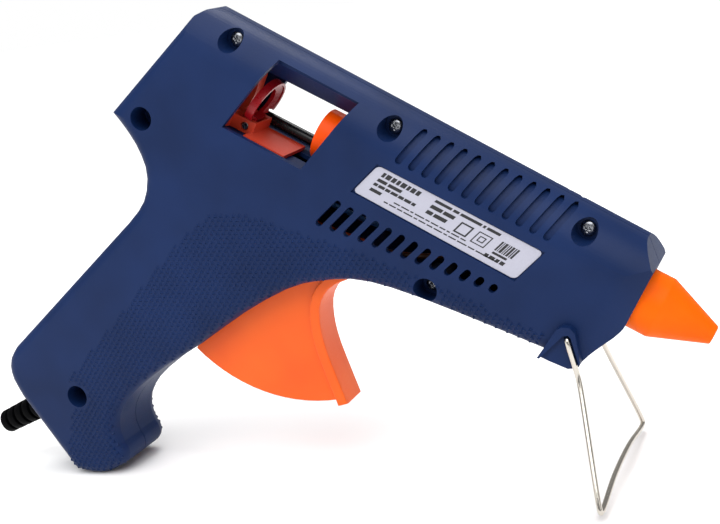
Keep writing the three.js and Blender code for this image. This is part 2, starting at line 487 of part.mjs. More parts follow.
const arm = slotShape(PIVOT, ARM_PIN, 6.4);
place('trigger', cut(joined(
  sidePlate(new THREE.Shape(web), -WEB_HALF_WIDTH, WEB_HALF_WIDTH),
  sidePlate(new THREE.Shape(flange), -TRIGGER_HALF_WIDTH, TRIGGER_HALF_WIDTH, 0.9),
  sidePlate(arm, -2.4, 2.4)),
crossPin(PIVOT.x, PIVOT.y, TRIGGER_PIN_RADIUS + GAP, -8, 8),
crossPin(ARM_PIN.x, ARM_PIN.y, PIN_RADIUS + GAP, -4, 4, 16)), ORANGE);
place('trigger_pin', crossPin(PIVOT.x, PIVOT.y, TRIGGER_PIN_RADIUS, -13.6, 13.6, 20), STEEL);

// ---------------------------------------------------------------- fasteners and label
SCREWS.forEach(({ name, at }) => {
  const profile = [[0, -HEAD_DEPTH], [2.1, -HEAD_DEPTH], [HEAD_RADIUS, -HEAD_DEPTH + 0.5],
    [HEAD_RADIUS, -HEAD_DEPTH + 1.3], [SCREW_RADIUS, -HEAD_DEPTH + 1.3], [SCREW_RADIUS, 9.5], [0, 11]];
  const recess = [[2.6, 0.7], [0.7, 2.6]].map(([a, b]) =>
    box([at.x - a / 2, -HEAD_DEPTH - 1, at.y - b / 2], [at.x + a / 2, -HEAD_DEPTH + 0.7, at.y + b / 2]));
  place(name, cut(new THREE.LatheGeometry(points(profile), 20).translate(at.x, 0, at.y), ...recess),
    { color: 0x55565a, roughness: 0.35, metalness: 1 });
});
place('label_plate', sidePlate(new THREE.Shape(insetOutline(points(LABEL).reverse(), GAP)),
  -HALF_WIDTH + LABEL_SINK - GAP - LABEL_SKIN, -HALF_WIDTH + LABEL_SINK - GAP),
{ color: 0xc5c6d8, roughness: 0.35, metalness: 0.3 });

// ---------------------------------------------------------------- bail
const bailPoint = (along, y) => {
  const aim = legAim(BAIL_ANGLE);
  return new THREE.Vector3(BAIL_PIVOT[0] + aim.x * along, y, BAIL_PIVOT[1] + aim.y * along);
};
const bailHalf = [[0, 12.6], [0, BAIL_PIVOT_Y - 1.6], [0.5, BAIL_PIVOT_Y - 0.4], [1.8, BAIL_PIVOT_Y],
  [BAIL_KINK - 2, BAIL_PIVOT_Y], [BAIL_KINK + 2, BAIL_PIVOT_Y + 1.2],
  [BAIL_LEG - 3.4, BAIL_FOOT_Y - 1.4], [BAIL_LEG - 0.8, BAIL_FOOT_Y - 0.9],
  [BAIL_LEG - 0.4, BAIL_FOOT_Y - 3.6], [BAIL_LEG - 2.4, BAIL_FOOT_Y / 3]];
const bailPath = new THREE.CatmullRomCurve3([
  ...bailHalf.map(([along, y]) => bailPoint(along, -y)),
  ...bailHalf.slice().reverse().map(([along, y]) => bailPoint(along, y))], false, 'centripetal');
place('bail_stand', tube(bailPath, BAIL_RADIUS, 76), STEEL);

// ---------------------------------------------------------------- wiring
const wire = (sign) => {
  const inBarrel = [[-60.8, 3.2, -12.7], [-63.2, 4.2, -15.4], [-68, 7.5, -18.4], [-80, 11, -23],
    [-100, 11.8, -27]].map(([x, y, z]) => new THREE.Vector3(x, sign * y, z));
  const inGrip = [[rear(74, -29), 11.8], [rear(48, -40), 11.8], [rear(34, -64), 11], [heel(35.4, 51.4), 6],
    [heel(31.9, 17.4), 2]].map(([at, y]) => new THREE.Vector3(at.x, sign * y, at.y));
  const route = [...inBarrel, ...inGrip];
  const end = alongRelief(-8);
  route.push(new THREE.Vector3(end.x, sign * 1.3, end.y));
  return tube(new THREE.CatmullRomCurve3(route), 1.1, 34, 6);
};
place('live_wire', wire(-1), { color: 0x6b3a1e, roughness: 0.5, metalness: 0 });
place('neutral_wire', wire(1), { color: 0x2a6fb5, roughness: 0.5, metalness: 0 });

const reliefProfile = [[-7.4, RELIEF_BORE], [-7.4, 6.2], [-5, 6.2], [-5, RELIEF_NECK], [1.4, RELIEF_NECK],
  [1.4, RELIEF_RADIUS], [4.2, RELIEF_RADIUS], [4.2, RELIEF_CORE]];
const RIBS = 5;
const RIB_STEP = 4.7;
const RIB_WIDTH = 3.2;
for (let i = 0; i < RIBS; i += 1) {
  const start = 5.8 + i * RIB_STEP;
  reliefProfile.push([start, RELIEF_CORE], [start, RELIEF_RADIUS - 0.1 * i],
    [start + RIB_WIDTH, RELIEF_RADIUS - 0.1 * i], [start + RIB_WIDTH, RELIEF_CORE]);
}
reliefProfile.push([RELIEF_LENGTH, RELIEF_CORE], [RELIEF_LENGTH, RELIEF_BORE], [-7.4, RELIEF_BORE]);
place('strain_relief', turned(reliefProfile, 16)
  .rotateY(-Math.atan2(RELIEF_AIM.y, RELIEF_AIM.x)).translate(RELIEF_EXIT.x, 0, RELIEF_EXIT.y), BLACK);

const across = new THREE.Vector2(0.8, -0.6);
const clampAt = (side) => alongRelief(-13).addScaledVector(across, side * 5.6);
place('cord_clamp', cut(sidePlate(slotShape(clampAt(-1), clampAt(1), 5.6), -5.4, -2.8),
  ...[-1, 1].map((side) => crossPin(clampAt(side).x, clampAt(side).y, 1.6, -6, 0, 16))), BLACK);
[['upper', -1], ['lower', 1]].forEach(([end, side]) => {
  const at = clampAt(side);
  const profile = [[0, -7.6], [2.2, -7.2], [2.4, -5.7], [1.1, -5.7], [1.1, 6], [0, 7]];
  place(`cord_clamp_screw_${end}`,
    new THREE.LatheGeometry(points(profile), 16).translate(at.x, 0, at.y), STEEL);
});

// ---------------------------------------------------------------- stance
// Nose-down on the bail's two feet and the lowest edge of the grip.
const foot = bailPoint(BAIL_LEG, 0);
const heelPoint = heel(46.8, -23.6);
gun.rotation.y = Math.atan2(foot.z - BAIL_RADIUS - heelPoint.y, foot.x - heelPoint.x);
const standing = new THREE.Group();
standing.add(gun);
standing.updateMatrixWorld(true);
const bounds = new THREE.Box3().setFromObject(standing, true);
const middle = bounds.getCenter(new THREE.Vector3());
gun.position.set(-middle.x, -middle.y, -bounds.min.z);

export default standing;
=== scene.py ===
# %% [markdown]
# # A hot-melt glue gun, dressed for its portrait
# The fixed frame brings every piece at its real size and place. The frame is loaded first, because
# each step after it only adds surface to what is already there.

import json
from math import cos, radians, sin, tau

import bmesh
import bpy
from mathutils import Matrix, Vector
from mathutils.bvhtree import BVHTree

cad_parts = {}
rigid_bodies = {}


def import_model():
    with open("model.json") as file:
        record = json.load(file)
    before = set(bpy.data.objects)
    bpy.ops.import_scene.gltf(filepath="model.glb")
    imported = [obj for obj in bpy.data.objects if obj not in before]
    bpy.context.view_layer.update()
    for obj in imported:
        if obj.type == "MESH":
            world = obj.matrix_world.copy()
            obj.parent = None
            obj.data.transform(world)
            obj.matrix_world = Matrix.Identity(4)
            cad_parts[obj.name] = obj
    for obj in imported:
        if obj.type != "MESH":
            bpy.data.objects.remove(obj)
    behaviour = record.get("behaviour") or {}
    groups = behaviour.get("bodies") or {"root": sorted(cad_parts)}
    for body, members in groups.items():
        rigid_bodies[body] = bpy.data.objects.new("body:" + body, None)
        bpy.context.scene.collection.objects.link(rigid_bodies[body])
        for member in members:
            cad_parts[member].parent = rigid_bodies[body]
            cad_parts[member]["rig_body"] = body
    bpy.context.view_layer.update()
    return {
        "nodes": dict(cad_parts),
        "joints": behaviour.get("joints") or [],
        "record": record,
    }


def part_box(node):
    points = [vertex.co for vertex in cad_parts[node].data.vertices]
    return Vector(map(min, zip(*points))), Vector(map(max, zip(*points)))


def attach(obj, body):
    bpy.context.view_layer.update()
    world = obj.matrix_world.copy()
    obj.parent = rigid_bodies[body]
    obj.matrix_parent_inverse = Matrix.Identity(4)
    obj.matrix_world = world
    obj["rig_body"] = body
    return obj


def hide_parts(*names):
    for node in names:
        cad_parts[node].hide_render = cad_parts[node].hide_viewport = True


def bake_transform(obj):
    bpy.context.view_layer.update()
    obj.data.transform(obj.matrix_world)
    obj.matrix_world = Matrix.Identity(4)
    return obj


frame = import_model()
nodes = frame["nodes"]
joints = {joint["name"]: joint for joint in frame["joints"]}
MM = 0.001

# %% [markdown]
# ## The gun's own directions
# A glue gun is drawn along its glue axis, but it stands nose-down on its bail. Most sizes are easier to
# say in the gun's own frame: millimetres forward of the front face, sideways, and up from the glue axis.
# The feed slide gives the forward direction, and the trigger's pivot gives one known point.

# %% From the gun's frame to the world
PIVOT_X, PIVOT_Z = -121, -40
forward = Vector(joints["carriage_slide"]["axis"]).normalized()
upward = Vector((-forward.z, 0, forward.x))
pivot = Vector(joints["trigger_squeeze"]["pos_m"])
GUN = Matrix.Identity(4)
for row in range(3):
    GUN[row][0] = forward[row] * MM
    GUN[row][1] = (0, MM, 0)[row]
    GUN[row][2] = upward[row] * MM
    GUN[row][3] = pivot[row] - (PIVOT_X * forward[row] + PIVOT_Z * upward[row]) * MM


def spot(x, y, z):
    """A point of the gun's frame, in the world."""
    return GUN @ Vector((x, y, z))


def heading(x, y, z):
    """A direction of the gun's frame, in the world."""
    return (GUN.to_3x3() @ Vector((x, y, z))).normalized()


print("front face centre", [round(v, 4) for v in spot(0, 0, 0)])

# %% [markdown]
# ## Camera
# A product shot is taken from a little above and a little ahead of the side, with a longish lens so
# that the barrel stays straight. The camera is set from its own axes instead of from angles, because
# the gun is tilted and two angles about world axes would hide what is parallel to what.

# %% Camera
camera_data = bpy.data.cameras.new("portrait")
camera_data.lens, camera_data.sensor_width = 61.5, 36
camera_data.clip_start, camera_data.clip_end = 0.02, 20
camera = bpy.data.objects.new("portrait_camera", camera_data)
bpy.context.scene.collection.objects.link(camera)
across, down, ahead = (0.8557, 0.3828, 0.3482), (0.4641, -0.2699, -0.8437), (-0.2290, 0.8835, -0.4086)
sideways, above = heading(*across), -heading(*down)
turn = Matrix((sideways, above, -heading(*ahead))).transposed()
camera.matrix_world = Matrix.Translation(spot(8.2, -394.9, 144.9)) @ turn.to_4x4()
bpy.context.scene.camera = camera
bpy.context.scene.view_settings.view_transform = "Standard"
print("camera at", [round(v, 3) for v in camera.matrix_world.translation])

# %% [markdown]
# ## Helpers for finishes
# Every finish below is a node tree. One function adds a node with its settings and its links, and one
# turns the usual sRGB hex colours into the linear ones that the renderer works with. Patterns are
# given in millimetres, so the object coordinates are scaled by a thousand first.


# %% Node and colour helpers
def linear(code):
    """A hex sRGB colour as linear RGBA."""
    parts = [int(code[i:i + 2], 16) / 255 for i in (1, 3, 5)]
    return (*[c / 12.92 if c <= 0.04045 else ((c + 0.055) / 1.055) ** 2.4 for c in parts], 1)


def add(tree, kind, links=None, **settings):
    """Adds a node; a setting named for an input sets that input, and any other sets the node."""
    node = tree.nodes.new("ShaderNode" + kind)
    for name, value in settings.items():
        if hasattr(node, name):
            setattr(node, name, value)
        else:
            node.inputs[name.replace("_", " ")].default_value = value
    for name, source in (links or {}).items():
        tree.links.new(source, node.inputs[name])
    return node


def finish_named(name, **principled):
    """A new material, its tree, its main shader and its object coordinates in millimetres."""
    material = bpy.data.materials.new(name)
    material.use_nodes = True
    tree = material.node_tree
    tree.nodes.clear()
    shader = add(tree, "BsdfPrincipled", **principled)
    output = add(tree, "OutputMaterial")
    tree.links.new(shader.outputs["BSDF"], output.inputs["Surface"])
    place = add(tree, "TexCoord")
    scaled = add(tree, "Mapping", {"Vector": place.outputs["Object"]}, Scale=(1 / MM, 1 / MM, 1 / MM))
    return material, tree, shader, scaled.outputs["Vector"]


# %% [markdown]
# Moulded plastics share one recipe: a base colour that drifts a little over some centimetres, a spark
# eroded grain that breaks up the gloss, and a shallow bump of the same grain. A function keeps it once,
# and each plastic gives its own colours, gloss and grain size.


# %% Moulded plastic and rubber
def moulded(name, dark, light, roughness, grain_mm, depth_mm, **principled):
    """Plastic or rubber from a textured mould; the grain's size and depth are in millimetres."""
    material, tree, shader, place = finish_named(name, **principled)
    drift = add(tree, "TexNoise", {"Vector": place}, Scale=1 / 28, Detail=2.0, Roughness=0.5)
    grain = add(tree, "TexNoise", {"Vector": place}, Scale=1 / grain_mm, Detail=2.0, Roughness=0.6)
    shade = add(tree, "MapRange", {"Value": drift.outputs["Fac"]}, From_Min=0.3, From_Max=0.7)
    mix = add(tree, "Mix", {"Factor": shade.outputs["Result"]}, data_type="RGBA")
    colours = [socket for socket in mix.inputs if socket.type == "RGBA"]
    colours[0].default_value, colours[1].default_value = linear(dark), linear(light)
    colour = [socket for socket in mix.outputs if socket.type == "RGBA"][0]
    tree.links.new(colour, shader.inputs["Base Color"])
    gloss = add(tree, "MapRange", {"Value": grain.outputs["Fac"]}, From_Min=0.25, From_Max=0.75,
                To_Min=roughness - 0.06, To_Max=roughness + 0.06)
    tree.links.new(gloss.outputs["Result"], shader.inputs["Roughness"])
    bump = add(tree, "Bump", {"Height": grain.outputs["Fac"]}, Strength=1.0, Distance=depth_mm * MM)
    tree.links.new(bump.outputs["Normal"], shader.inputs["Normal"])
    return material


# ABS from a spark-eroded mould: satin, with a faint grain that spreads every highlight.
housing_abs = moulded("navy_abs_spark_grain", "#0C2046", "#112752", 0.46, 0.55, 0.035, IOR=1.53,
                      Specular_IOR_Level=0.14)
# The same ABS in orange, from a finer mould, so that its highlights are a little tighter.
trigger_abs = moulded("orange_abs_satin", "#E8540A", "#EE6010", 0.42, 0.8, 0.012, IOR=1.53,
                      Specular_IOR_Level=0.3)
sleeve_abs = moulded("orange_abs_sleeve", "#F04A00", "#F65602", 0.38, 0.8, 0.01, IOR=1.53,
                     Specular_IOR_Level=0.12)
carriage_abs = moulded("coral_abs_carriage", "#C93A20", "#D2452B", 0.35, 0.8, 0.01, IOR=1.53,
                       Specular_IOR_Level=0.5)
# Silicone takes heat and stays soft: it glows a little from inside and has no sharp highlight.
cover_silicone = moulded("amber_silicone", "#EE5C00", "#F46600", 0.48, 1.2, 0.015, IOR=1.43,
                         Specular_IOR_Level=0.12, Subsurface_Weight=0.12, Subsurface_Scale=0.002)
collar_silicone = moulded("grey_silicone", "#A59F92", "#B9B3A6", 0.6, 1.2, 0.02, IOR=1.43)
# Glass-filled nylon is used where the clamp bites and the rod slides. The clamp's red is painted shade: it
# is darker than the carriage's coral to stand for the shade inside the window.
clamp_red_painted_shade = moulded("red_nylon_painted_shade", "#8E0612", "#A50E18", 0.30, 0.9, 0.01, IOR=1.53,
                      Specular_IOR_Level=0.4)
black_nylon = moulded("black_nylon", "#05060A", "#0A0C12", 0.28, 0.9, 0.01, IOR=1.53,
                      Specular_IOR_Level=0.3)
relief_pvc = moulded("black_soft_pvc", "#020203", "#050507", 0.5, 0.7, 0.02, IOR=1.52,
                     Specular_IOR_Level=0.03)
brown_pvc = moulded("brown_pvc", "#4E2A16", "#5C341C", 0.4, 0.9, 0.01, IOR=1.52)
blue_pvc = moulded("blue_pvc", "#1D5DA6", "#2A6FB5", 0.4, 0.9, 0.01, IOR=1.52)
heater_film = moulded("amber_film", "#B57A24", "#C58B33", 0.25, 2.0, 0.02, IOR=1.6)

# %% [markdown]
# Metals reflect instead of showing a colour of their own, so the colour below is the tint of the
# reflection. Drawn wire and rolled plate carry fine lines from the die, a casting carries a coarse
# grain, and all of them vary in gloss where they have been handled.


# %% Metals
def metal(name, tint, roughness, grain_mm, depth_mm, stretch=(1, 1, 1)):
    """Bare or plated metal; stretch lengthens the grain along an axis of the gun's frame."""
    material, tree, shader, place = finish_named(name, Metallic=1.0)
    shader.inputs["Base Color"].default_value = linear(tint)
    lay = add(tree, "Mapping", {"Vector": place}, Scale=stretch)
    grain = add(tree, "TexNoise", {"Vector": lay.outputs["Vector"]}, Scale=1 / grain_mm, Detail=3.0)
    gloss = add(tree, "MapRange", {"Value": grain.outputs["Fac"]}, From_Min=0.3, From_Max=0.7,
                To_Min=roughness * 0.7, To_Max=roughness * 1.35)
    tree.links.new(gloss.outputs["Result"], shader.inputs["Roughness"])
    bump = add(tree, "Bump", {"Height": grain.outputs["Fac"]}, Strength=1.0, Distance=depth_mm * MM)
    tree.links.new(bump.outputs["Normal"], shader.inputs["Normal"])
    return material


nickel = metal("bright_nickel_wire", "#CFC9BF", 0.16, 0.6, 0.008, (1, 1, 0.12))
zinc = metal("grey_zinc_screw", "#8B8D92", 0.28, 0.5, 0.02)
pin_steel = metal("drawn_steel_pin", "#B4B5B8", 0.25, 0.5, 0.01, (1, 0.1, 1))
spring_steel = metal("spring_steel", "#A6A7AB", 0.25, 0.5, 0.01)
brass = metal("turned_brass", "#C9A35A", 0.22, 0.5, 0.01)
cast_aluminium = metal("die_cast_aluminium", "#A9ABAE", 0.45, 1.4, 0.05)
label_foil = metal("silver_label_foil", "#B4B4C2", 0.42, 0.7, 0.004)
label_foil.node_tree.nodes["Principled BSDF"].inputs["Metallic"].default_value = 0.35
label_ink = moulded("black_label_ink", "#101014", "#17171C", 0.45, 1.0, 0.002, IOR=1.5)
print("finishes", len(bpy.data.materials))

# %% [markdown]
# ## Helpers for pieces
# A finished piece has its object at the origin and its place in its mesh. Pieces that already have the
# right shape in the frame are dressed: the loose triangles are merged, flat areas become one face, and
# a small bevel gives every edge the radius that a mould leaves. Weighted normals keep the flats flat.


# %% Piece helpers
def piece(name, mesh, material, body, slot, *stands_for):
    """Names a mesh as a finished piece on a body and hides the nodes it stands for; the slot is not used.
    """
    found = bpy.data.objects.new(name, mesh)
    bpy.context.scene.collection.objects.link(found)
    mesh.materials.clear()
    mesh.materials.append(material)
    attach(found, body)
    if stands_for:
        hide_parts(*stands_for)
    return found


def mesh_from(bm, name, smooth_below=32):
    """Closes a bmesh into a mesh whose edges under an angle are smooth."""
    mesh = bpy.data.meshes.new(name)
    bm.to_mesh(mesh)
    bm.free()
    mesh.shade_smooth()
    mesh.set_sharp_from_angle(angle=radians(smooth_below))
    return mesh


def settled(found):
    """Applies a piece's modifiers into its mesh."""
    graph = bpy.context.evaluated_depsgraph_get()
    mesh = bpy.data.meshes.new_from_object(found.evaluated_get(graph), depsgraph=graph)
    found.modifiers.clear()
    found.data = mesh
    return found


def dressed(node, material, edge_mm=0.25, segments=2, above=38):
    """A copy of a frame node with merged faces and small moulded edge radii."""
    bm = bmesh.new()
    bm.from_mesh(nodes[node].data)
    bmesh.ops.remove_doubles(bm, verts=bm.verts, dist=0.002 * MM)
    bmesh.ops.dissolve_limit(bm, angle_limit=radians(0.4), verts=bm.verts, edges=bm.edges)
    mesh = mesh_from(bm, node + "_dressed")
    found = piece(node + "_dressed", mesh, material, nodes[node]["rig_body"], slot_of[node], node)
    if edge_mm:
        edge = found.modifiers.new("moulded_edges", "BEVEL")
        edge.width, edge.segments, edge.limit_method = edge_mm * MM, segments, "ANGLE"
        edge.angle_limit, edge.harden_normals = radians(above), True
    weighted = found.modifiers.new("even_flats", "WEIGHTED_NORMAL")
    weighted.keep_sharp, weighted.weight = True, 80
    return found


slot_of = {row["node"]: row["material_slot"] for row in frame["record"]["subparts"]}

# %% [markdown]
# ## Housing shells
# The body is two ABS mouldings that close like a clam. Their outline, slots, window and counterbores
# come from the frame; what the frame leaves out is the edge radius that light catches on every rim.

# %% Housing shells
shells = [dressed(side, housing_abs, 0.3) for side in ("right_shell", "left_shell")]
for shell in shells:
    print(shell.name, len(shell.data.polygons), "faces")

# %% [markdown]
# ## Grip texture
# The grip and the underside of the barrel carry rows of small raised pyramids, so that the hand does
# not slip. They could be a bump pattern, but real ones show on the outline and catch light one by one.
# One three-sided pyramid is laid on each point of a staggered lattice, where a straight ray from the
# side meets the shell. It is tipped to the shell's slope there, and all point the same way.

# %% Grip texture
ROW_TILT = radians(28.8)
PITCH, ROW_GAP, PYRAMID_REACH, PYRAMID_HEIGHT = 2.52, 1.62, 1.06, 0.6
LATTICE = 70  # rows each way from the middle, enough to cover the outline
MIDDLE = Vector((-110, -90))
OUTSIDE = 40  # a ray starts this far out, clear of the gun
INNER_FACES = 9  # a hit nearer the middle than this is the inside of the other shell
STEEPEST = 0.32  # share of the shell's normal that has to face the side
RIM_DROP = 2.6  # a neighbour that falls further is over an edge
SINK = 0.03
TEXTURED = [(-178, -146), (-183, -137), (-157, -58), (-148, -41), (-137, -35), (-111, -31), (-98, -28),
            (-61, -23.5), (-22, -21.5), (-22, -60), (-95, -60), (-125, -100), (-135, -175), (-172, -175)]


def inside(outline, x, z):
    """Whether a point is inside a closed outline."""
    crossings = 0
    for (ax, az), (bx, bz) in zip(outline, outline[1:] + outline[:1]):
        if (az > z) != (bz > z) and x < ax + (z - az) * (bx - ax) / (bz - az):
            crossings += 1
    return crossings % 2 == 1


def texture_for(node, side):
    """Rows of pyramids on one shell; side is -1 on the right and 1 on the left."""
    surface = bmesh.new()
    surface.from_mesh(nodes[node].data)
    tree = BVHTree.FromBMesh(surface)
    into = Vector((0, -side, 0))
    one = bmesh.new()
    bmesh.ops.create_cone(one, cap_ends=False, segments=3, radius1=PYRAMID_REACH * MM, radius2=0,
                          depth=PYRAMID_HEIGHT * MM,
                          matrix=Matrix.Translation((0, 0, PYRAMID_HEIGHT * MM / 2)))
    bmesh.ops.remove_doubles(one, verts=one.verts, dist=0.001 * MM)
    pyramid = bpy.data.meshes.new("one_pyramid")
    one.to_mesh(pyramid)
    one.free()
    rows = bmesh.new()
    along = Vector((cos(ROW_TILT), sin(ROW_TILT)))
    upright = Vector((-along.y, along.x))
    count = 0
    for i in range(-LATTICE, LATTICE + 1):
        for j in range(-LATTICE, LATTICE + 1):
            point = MIDDLE + along * PITCH * (i + 0.5 * (j % 2)) + upright * ROW_GAP * j
            if not inside(TEXTURED, point.x, point.y):
                continue
            hit, normal, _, _ = tree.ray_cast(spot(point.x, side * OUTSIDE, point.y), into)
            if hit is None or abs(hit.y) < INNER_FACES * MM or normal.y * side < STEEPEST:
                continue
            rim = [tree.ray_cast(spot(point.x, side * OUTSIDE, point.y) + shift * MM, into)[0]
                   for shift in (forward, -forward, upward, -upward)]
            if any(found is None or abs(found.y - hit.y) > RIM_DROP * MM for found in rim):
                continue
            row_way = heading(along.x, 0, along.y)
            row_way = (row_way - normal * row_way.dot(normal)).normalized()
            facing = Matrix((row_way, normal.cross(row_way), normal)).transposed().to_4x4()
            facing = Matrix.Translation(hit - normal * SINK * MM) @ facing
            start = len(rows.verts)
            rows.from_mesh(pyramid)
            rows.verts.ensure_lookup_table()
            bmesh.ops.transform(rows, matrix=facing, verts=rows.verts[start:])
            count += 1
    surface.free()
    mesh = bpy.data.meshes.new(node + "_texture")
    rows.to_mesh(mesh)
    rows.free()
    print(node, "pyramids", count)
    return piece(node + "_texture", mesh, housing_abs, "housing", slot_of[node])


texture_for("right_shell", -1)
texture_for("left_shell", 1)

# %% [markdown]
# ## Silicone nozzle cover, brass nozzle and feed sleeve
# These are round pieces about the glue axis, so each is one profile spun about it. Many steps keep the
# outline round up close, and the corners of the profile have small radii of their own.


# %% Round pieces
def spun(name, profile, node, material, steps=96, soft=32):
    """Spins a closed (x, radius) profile in the gun's frame about the glue axis."""
    bm = bmesh.new()
    ring = [bm.verts.new((x, 0, r)) for x, r in profile]
    edges = [bm.edges.new((a, b)) for a, b in zip(ring, ring[1:] + ring[:1])]
    bmesh.ops.spin(bm, geom=ring + edges, axis=(1, 0, 0), cent=(0, 0, 0), steps=steps, angle=tau,
                   use_merge=True)
    bmesh.ops.remove_doubles(bm, verts=bm.verts, dist=0.001)
    bmesh.ops.transform(bm, matrix=GUN, verts=bm.verts)
    bmesh.ops.recalc_face_normals(bm, faces=bm.faces)
    mesh = mesh_from(bm, name, soft)
    return piece(name, mesh, material, nodes[node]["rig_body"], slot_of[node], node)


def eased(corners, radius=0.35, steps=3):
    """A closed profile with each corner replaced by a small arc-like run of points."""
    points = [Vector(corner) for corner in corners]
    result = []
    for i, corner in enumerate(points):
        before, after = points[i - 1], points[(i + 1) % len(points)]
        reach = min(radius, (before - corner).length * 0.45, (after - corner).length * 0.45)
        start = corner + (before - corner).normalized() * reach
        end = corner + (after - corner).normalized() * reach
        for k in range(steps + 1):
            t = k / steps
            result.append(tuple(start * (1 - t) ** 2 + corner * 2 * t * (1 - t) + end * t ** 2))
    return result


spun("silicone_nozzle_cover", eased([(-6.2, 7.8), (-6.2, 11.7), (-4, 11.7), (-4, 10.8), (7.2, 10.8),
     (26.4, 3.2), (26.4, 2.2), (-2.2, 7.6)], 0.5, 4), "nozzle_cover", cover_silicone)
spun("brass_nozzle", eased([(-13.4, 3.2), (-13.4, 4.3), (-7.4, 4.3), (-7.4, 7.1), (-2.7, 7.1),
     (25.9, 1.8), (25.9, 0.9), (22.4, 0.9), (-4, 3.2)], 0.15), "nozzle", brass, 48)
SLEEVE_REAR, SLEEVE_FRONT = -124.6, -74.3
spun("feed_sleeve", eased([(SLEEVE_REAR, 6.8), (SLEEVE_REAR, 9.5), (SLEEVE_FRONT, 9.5),
     (SLEEVE_FRONT, 7.8), (-86.3, 7.8), (-86.3, 6.1), (SLEEVE_REAR + 4, 6.1)], 0.4, 3),
     "inlet_sleeve", sleeve_abs)

# %% [markdown]
# ## Strain relief
# Where the cord leaves the grip, a soft ribbed sleeve stops it from kinking. Real ones are moulded as a
# chain of blocks joined by a thin core, so the profile steps in and out and is spun about its own axis.

# %% Strain relief
EXIT = (-195.67, -162.17)
AIM = Vector((-0.6, 0, -0.8))
RIBS, RIB_STEP, RIB_LONG, CORE, RIB_OUT, BORE, LAST = 5, 4.7, 3.2, 3.8, 5.4, 2.8, 28.4
TAPER = 0.1  # each rib is this much smaller than the one before
outline = [(-7.4, BORE), (-7.4, 6.2), (-5, 6.2), (-5, 4.4), (1.4, 4.4), (1.4, RIB_OUT),
           (4.2, RIB_OUT), (4.2, CORE)]
for i in range(RIBS):
    start, out = 5.8 + i * RIB_STEP, RIB_OUT - TAPER * i
    outline += [(start, CORE), (start, out), (start + RIB_LONG, out), (start + RIB_LONG, CORE)]
outline += [(LAST, CORE), (LAST, BORE)]
bm = bmesh.new()
ring = [bm.verts.new((x, 0, r)) for x, r in eased(outline, 0.3, 2)]
edges = [bm.edges.new((a, b)) for a, b in zip(ring, ring[1:] + ring[:1])]
bmesh.ops.spin(bm, geom=ring + edges, axis=(1, 0, 0), cent=(0, 0, 0), steps=48, angle=tau, use_merge=True)
bmesh.ops.remove_doubles(bm, verts=bm.verts, dist=0.001)
aim = Vector((1, 0, 0)).rotation_difference(AIM).to_matrix().to_4x4()
bmesh.ops.transform(bm, matrix=GUN @ Matrix.Translation((EXIT[0], 0, EXIT[1])) @ aim, verts=bm.verts)
bmesh.ops.recalc_face_normals(bm, faces=bm.faces)
piece("ribbed_strain_relief", mesh_from(bm, "ribbed_strain_relief"), relief_pvc, "housing",
      slot_of["strain_relief"], "strain_relief")

# %% [markdown]
# ## Wire bail
# The stand is one length of nickel-plated wire, bent at each end into the housing's bosses. A curve
# with a round bevel is the natural way to draw wire: its points are the bends, and the curve keeps the
# same thickness round each of them. It is then turned into a mesh, as every finished piece is.

# %% Wire bail
BAIL_AIM = Vector((sin(radians(42)), 0, -cos(radians(42))))
BAIL_TOP = Vector((-14.5, 0, -18))
half = [(0, 12.6), (0, 17.4), (0.5, 18.6), (1.8, 19), (13.2, 19), (17.2, 20.2), (50.8, 37.2),
        (53.4, 37.65), (53.8, 35.2), (51.8, 13)]


def catmull(points, per_span):
    """Points on a smooth centripetal path through the given ones."""
    ends = [points[0] * 2 - points[1]] + points + [points[-1] * 2 - points[-2]]
    path = []
    for p0, p1, p2, p3 in zip(ends, ends[1:], ends[2:], ends[3:]):
        t0 = 0
        t1 = t0 + (p1 - p0).length ** 0.5
        t2 = t1 + (p2 - p1).length ** 0.5
        t3 = t2 + (p3 - p2).length ** 0.5
        for k in range(per_span):
            t = t1 + (t2 - t1) * k / per_span
            a1 = p0 * ((t1 - t) / (t1 - t0)) + p1 * ((t - t0) / (t1 - t0))
            a2 = p1 * ((t2 - t) / (t2 - t1)) + p2 * ((t - t1) / (t2 - t1))
            a3 = p2 * ((t3 - t) / (t3 - t2)) + p3 * ((t - t2) / (t3 - t2))
            b1 = a1 * ((t2 - t) / (t2 - t0)) + a2 * ((t - t0) / (t2 - t0))
            b2 = a2 * ((t3 - t) / (t3 - t1)) + a3 * ((t - t1) / (t3 - t1))
            path.append(b1 * ((t2 - t) / (t2 - t1)) + b2 * ((t - t1) / (t2 - t1)))
    return path + [points[-1]]


def wire(name, path, radius_mm, material, node, sides=5):
    """A round wire along a path in the gun's frame."""
    data = bpy.data.curves.new(name + "_line", "CURVE")
    data.dimensions, data.bevel_depth, data.bevel_resolution = "3D", radius_mm * MM, sides
    data.use_fill_caps = True
    line = data.splines.new("POLY")
    line.points.add(len(path) - 1)
    for point, at in zip(line.points, path):
        point.co = (*spot(*at), 1)
    curve = bpy.data.objects.new(name + "_line", data)
    bpy.context.scene.collection.objects.link(curve)
    graph = bpy.context.evaluated_depsgraph_get()
    mesh = bpy.data.meshes.new_from_object(curve.evaluated_get(graph), depsgraph=graph)
    bpy.data.objects.remove(curve)
    mesh.shade_smooth()
    mesh.set_sharp_from_angle(angle=radians(50))
    return piece(name, mesh, material, nodes[node]["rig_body"], slot_of[node], node)


bends = [BAIL_TOP + BAIL_AIM * along + Vector((0, -y, 0)) for along, y in half]
bends += [Vector((p.x, -p.y, p.z)) for p in reversed(bends)]
wire("wire_bail", catmull(bends, 10), 0.95, nickel, "bail_stand", 8)

# %% [markdown]
# ## Screws
# Six self-tapping screws sit deep in the right shell's counterbores. A pan head is a low dome with a
# tapered cross recess, which a Boolean cuts from it more simply than any modelling of the cross.


